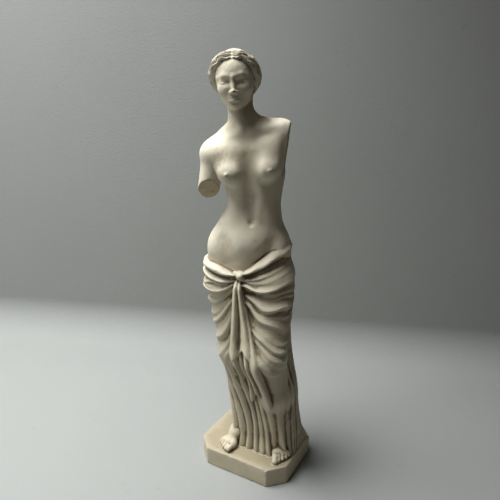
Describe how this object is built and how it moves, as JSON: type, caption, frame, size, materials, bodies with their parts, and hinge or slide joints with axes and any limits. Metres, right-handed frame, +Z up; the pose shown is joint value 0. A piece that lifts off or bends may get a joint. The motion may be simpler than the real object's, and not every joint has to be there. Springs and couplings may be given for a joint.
{
  "type": "classical goddess statuette",
  "caption": "Cast plaster statuette of a half-draped classical goddess with lost arms, on a low chamfered plinth; stands as an ornament.",
  "frame": {"origin": "middle of the plinth's underside", "axes": "+Z up along the figure's height; the plinth's long front edge faces -Y; the figure faces between -Y and +X, her left side towards +X"},
  "size_m": [0.0998, 0.0872, 0.4001],
  "materials": {
    "ivory_plaster": "matte cast plaster, aged ivory"
  },
  "bodies": {
    "root": {"aphrodite_statue": "ivory_plaster"}
  },
  "joints": []
}
